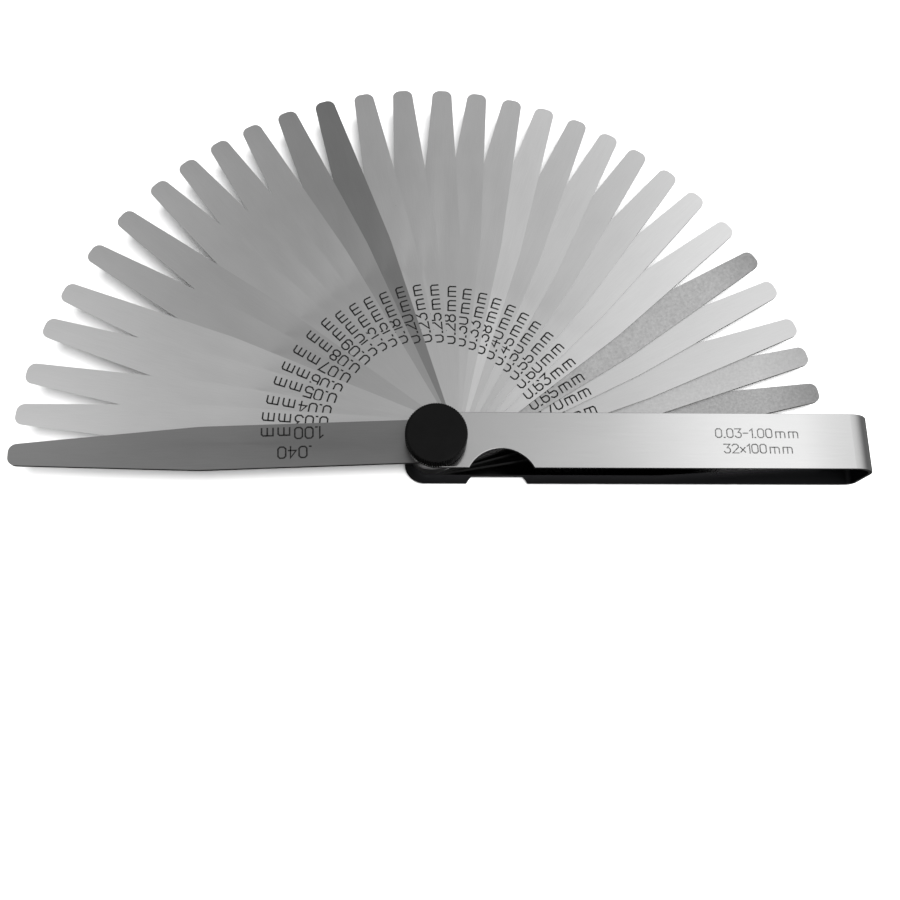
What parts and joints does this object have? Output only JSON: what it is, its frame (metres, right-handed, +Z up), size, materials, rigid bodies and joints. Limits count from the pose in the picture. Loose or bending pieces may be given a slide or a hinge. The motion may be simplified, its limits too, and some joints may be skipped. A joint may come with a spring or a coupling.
{
  "type": "feeler gauge",
  "caption": "Fan of tempered steel thickness blades on one pivot that swing out of a folded sheet-steel case and are clamped by a knurled knob, for measuring narrow gaps.",
  "frame": {"origin": "centre of the underside of the pivot screw's head, on the pivot axis, which the gauge stands on", "axes": "+X along the case from the pivot to its fold, +Y the side the blades are fanned out over, +Z up along the pivot axis towards the knob"},
  "size_m": [0.1922, 0.1003, 0.0212],
  "materials": {
    "case_chrome": "bright satin chrome on folded steel strip",
    "blade_steel": "ground spring steel, fine lengthwise grain",
    "screw_steel": "zinc-plated steel",
    "washer_steel": "blackened spring steel",
    "knob_plastic": "matt black moulded plastic",
    "insert_brass": "machined brass"
  },
  "bodies": {
    "body_case": {"case": "case_chrome", "pivot_screw": "screw_steel"},
    "washer": {"spring_washer": "washer_steel"},
    "knob": {"lock_knob": "knob_plastic", "knob_insert": "insert_brass"},
    "leaf_1_00mm": {"blade_1_00mm": "blade_steel"},
    "leaf_0_03mm": {"blade_0_03mm": "blade_steel"},
    "leaf_0_04mm": {"blade_0_04mm": "blade_steel"},
    "leaf_0_05mm": {"blade_0_05mm": "blade_steel"},
    "leaf_0_06mm": {"blade_0_06mm": "blade_steel"},
    "leaf_0_07mm": {"blade_0_07mm": "blade_steel"},
    "leaf_0_08mm": {"blade_0_08mm": "blade_steel"},
    "leaf_0_09mm": {"blade_0_09mm": "blade_steel"},
    "leaf_0_10mm": {"blade_0_10mm": "blade_steel"},
    "leaf_0_13mm": {"blade_0_13mm": "blade_steel"},
    "leaf_0_15mm": {"blade_0_15mm": "blade_steel"},
    "leaf_0_18mm": {"blade_0_18mm": "blade_steel"},
    "leaf_0_20mm": {"blade_0_20mm": "blade_steel"},
    "leaf_0_23mm": {"blade_0_23mm": "blade_steel"},
    "leaf_0_25mm": {"blade_0_25mm": "blade_steel"},
    "leaf_0_28mm": {"blade_0_28mm": "blade_steel"},
    "leaf_0_30mm": {"blade_0_30mm": "blade_steel"},
    "leaf_0_33mm": {"blade_0_33mm": "blade_steel"},
    "leaf_0_38mm": {"blade_0_38mm": "blade_steel"},
    "leaf_0_40mm": {"blade_0_40mm": "blade_steel"},
    "leaf_0_45mm": {"blade_0_45mm": "blade_steel"},
    "leaf_0_50mm": {"blade_0_50mm": "blade_steel"},
    "leaf_0_55mm": {"blade_0_55mm": "blade_steel"},
    "leaf_0_60mm": {"blade_0_60mm": "blade_steel"},
    "leaf_0_63mm": {"blade_0_63mm": "blade_steel"},
    "leaf_0_65mm": {"blade_0_65mm": "blade_steel"},
    "leaf_0_70mm": {"blade_0_70mm": "blade_steel"},
    "leaf_0_75mm": {"blade_0_75mm": "blade_steel"},
    "leaf_0_80mm": {"blade_0_80mm": "blade_steel"},
    "leaf_0_85mm": {"blade_0_85mm": "blade_steel"},
    "leaf_0_90mm": {"blade_0_90mm": "blade_steel"},
    "leaf_0_95mm": {"blade_0_95mm": "blade_steel"}
  },
  "joints": [
    {"name": "leaf_1_00mm_swing", "type": "hinge", "parent": "body_case", "child": "leaf_1_00mm", "pos_m": [0, 0, 0.01456], "axis": [0, 0, 1], "range_deg": [-182.3, 177.7]},
    {"name": "leaf_0_03mm_swing", "type": "hinge", "parent": "body_case", "child": "leaf_0_03mm", "pos_m": [0, 0, 0.01404], "axis": [0, 0, 1], "range_deg": [-176.3, 183.7]},
    {"name": "leaf_0_04mm_swing", "type": "hinge", "parent": "body_case", "child": "leaf_0_04mm", "pos_m": [0, 0, 0.01399], "axis": [0, 0, 1], "range_deg": [-170.2, 189.8]},
    {"name": "leaf_0_05mm_swing", "type": "hinge", "parent": "body_case", "child": "leaf_0_05mm", "pos_m": [0, 0, 0.01393], "axis": [0, 0, 1], "range_deg": [-163.1, 196.9]},
    {"name": "leaf_0_06mm_swing", "type": "hinge", "parent": "body_case", "child": "leaf_0_06mm", "pos_m": [0, 0, 0.01387], "axis": [0, 0, 1], "range_deg": [-157.2, 202.8]},
    {"name": "leaf_0_07mm_swing", "type": "hinge", "parent": "body_case", "child": "leaf_0_07mm", "pos_m": [0, 0, 0.01379], "axis": [0, 0, 1], "range_deg": [-150.1, 209.9]},
    {"name": "leaf_0_08mm_swing", "type": "hinge", "parent": "body_case", "child": "leaf_0_08mm", "pos_m": [0, 0, 0.0137], "axis": [0, 0, 1], "range_deg": [-143.2, 216.8]},
    {"name": "leaf_0_09mm_swing", "type": "hinge", "parent": "body_case", "child": "leaf_0_09mm", "pos_m": [0, 0, 0.01361], "axis": [0, 0, 1], "range_deg": [-136.3, 223.7]},
    {"name": "leaf_0_10mm_swing", "type": "hinge", "parent": "body_case", "child": "leaf_0_10mm", "pos_m": [0, 0, 0.0135], "axis": [0, 0, 1], "range_deg": [-130.8, 229.2]},
    {"name": "leaf_0_13mm_swing", "type": "hinge", "parent": "body_case", "child": "leaf_0_13mm", "pos_m": [0, 0, 0.01337], "axis": [0, 0, 1], "range_deg": [-125.1, 234.9]},
    {"name": "leaf_0_15mm_swing", "type": "hinge", "parent": "body_case", "child": "leaf_0_15mm", "pos_m": [0, 0, 0.01322], "axis": [0, 0, 1], "range_deg": [-119.5, 240.5]},
    {"name": "leaf_0_18mm_swing", "type": "hinge", "parent": "body_case", "child": "leaf_0_18mm", "pos_m": [0, 0, 0.01304], "axis": [0, 0, 1], "range_deg": [-113.6, 246.4]},
    {"name": "leaf_0_20mm_swing", "type": "hinge", "parent": "body_case", "child": "leaf_0_20mm", "pos_m": [0, 0, 0.01284], "axis": [0, 0, 1], "range_deg": [-107.5, 252.5]},
    {"name": "leaf_0_23mm_swing", "type": "hinge", "parent": "body_case", "child": "leaf_0_23mm", "pos_m": [0, 0, 0.01261], "axis": [0, 0, 1], "range_deg": [-101.3, 258.7]},
    {"name": "leaf_0_25mm_swing", "type": "hinge", "parent": "body_case", "child": "leaf_0_25mm", "pos_m": [0, 0, 0.01236], "axis": [0, 0, 1], "range_deg": [-95.2, 264.8]},
    {"name": "leaf_0_28mm_swing", "type": "hinge", "parent": "body_case", "child": "leaf_0_28mm", "pos_m": [0, 0, 0.01208], "axis": [0, 0, 1], "range_deg": [-89, 271]},
    {"name": "leaf_0_30mm_swing", "type": "hinge", "parent": "body_case", "child": "leaf_0_30mm", "pos_m": [0, 0, 0.01178], "axis": [0, 0, 1], "range_deg": [-83.5, 276.5]},
    {"name": "leaf_0_33mm_swing", "type": "hinge", "parent": "body_case", "child": "leaf_0_33mm", "pos_m": [0, 0, 0.01145], "axis": [0, 0, 1], "range_deg": [-77.9, 282.1]},
    {"name": "leaf_0_38mm_swing", "type": "hinge", "parent": "body_case", "child": "leaf_0_38mm", "pos_m": [0, 0, 0.01109], "axis": [0, 0, 1], "range_deg": [-72.6, 287.4]},
    {"name": "leaf_0_40mm_swing", "type": "hinge", "parent": "body_case", "child": "leaf_0_40mm", "pos_m": [0, 0, 0.01069], "axis": [0, 0, 1], "range_deg": [-67.1, 292.9]},
    {"name": "leaf_0_45mm_swing", "type": "hinge", "parent": "body_case", "child": "leaf_0_45mm", "pos_m": [0, 0, 0.01025], "axis": [0, 0, 1], "range_deg": [-61.7, 298.3]},
    {"name": "leaf_0_50mm_swing", "type": "hinge", "parent": "body_case", "child": "leaf_0_50mm", "pos_m": [0, 0, 0.00976], "axis": [0, 0, 1], "range_deg": [-56.5, 303.5]},
    {"name": "leaf_0_55mm_swing", "type": "hinge", "parent": "body_case", "child": "leaf_0_55mm", "pos_m": [0, 0, 0.00923], "axis": [0, 0, 1], "range_deg": [-50.7, 309.3]},
    {"name": "leaf_0_60mm_swing", "type": "hinge", "parent": "body_case", "child": "leaf_0_60mm", "pos_m": [0, 0, 0.00864], "axis": [0, 0, 1], "range_deg": [-45.1, 314.9]},
    {"name": "leaf_0_63mm_swing", "type": "hinge", "parent": "body_case", "child": "leaf_0_63mm", "pos_m": [0, 0, 0.00801], "axis": [0, 0, 1], "range_deg": [-38.5, 321.5]},
    {"name": "leaf_0_65mm_swing", "type": "hinge", "parent": "body_case", "child": "leaf_0_65mm", "pos_m": [0, 0, 0.00736], "axis": [0, 0, 1], "range_deg": [-32.3, 327.7]},
    {"name": "leaf_0_70mm_swing", "type": "hinge", "parent": "body_case", "child": "leaf_0_70mm", "pos_m": [0, 0, 0.00667], "axis": [0, 0, 1], "range_deg": [-26.8, 333.2]},
    {"name": "leaf_0_75mm_swing", "type": "hinge", "parent": "body_case", "child": "leaf_0_75mm", "pos_m": [0, 0, 0.00594], "axis": [0, 0, 1], "range_deg": [-20.2, 339.8]},
    {"name": "leaf_0_80mm_swing", "type": "hinge", "parent": "body_case", "child": "leaf_0_80mm", "pos_m": [0, 0, 0.00515], "axis": [0, 0, 1], "range_deg": [-15.5, 344.5]},
    {"name": "leaf_0_85mm_swing", "type": "hinge", "parent": "body_case", "child": "leaf_0_85mm", "pos_m": [0, 0, 0.00431], "axis": [0, 0, 1], "range_deg": [-9.7, 350.3]},
    {"name": "leaf_0_90mm_swing", "type": "hinge", "parent": "body_case", "child": "leaf_0_90mm", "pos_m": [0, 0, 0.00342], "axis": [0, 0, 1], "range_deg": [0, 360]},
    {"name": "leaf_0_95mm_swing", "type": "hinge", "parent": "body_case", "child": "leaf_0_95mm", "pos_m": [0, 0, 0.00249], "axis": [0, 0, 1], "range_deg": [0, 360]},
    {"name": "washer_lift", "type": "slide", "parent": "body_case", "child": "washer", "axis": [0, 0, 1], "range_m": [0, 0.0008]},
    {"name": "knob_turn", "type": "hinge", "parent": "washer", "child": "knob", "pos_m": [0, 0, 0.01888], "axis": [0, 0, 1], "range_deg": [0, 360]}
  ],
  "couplings": [
    {"joint": "knob_turn", "follows": "washer_lift", "rad_per_m": 7854}
  ]
}
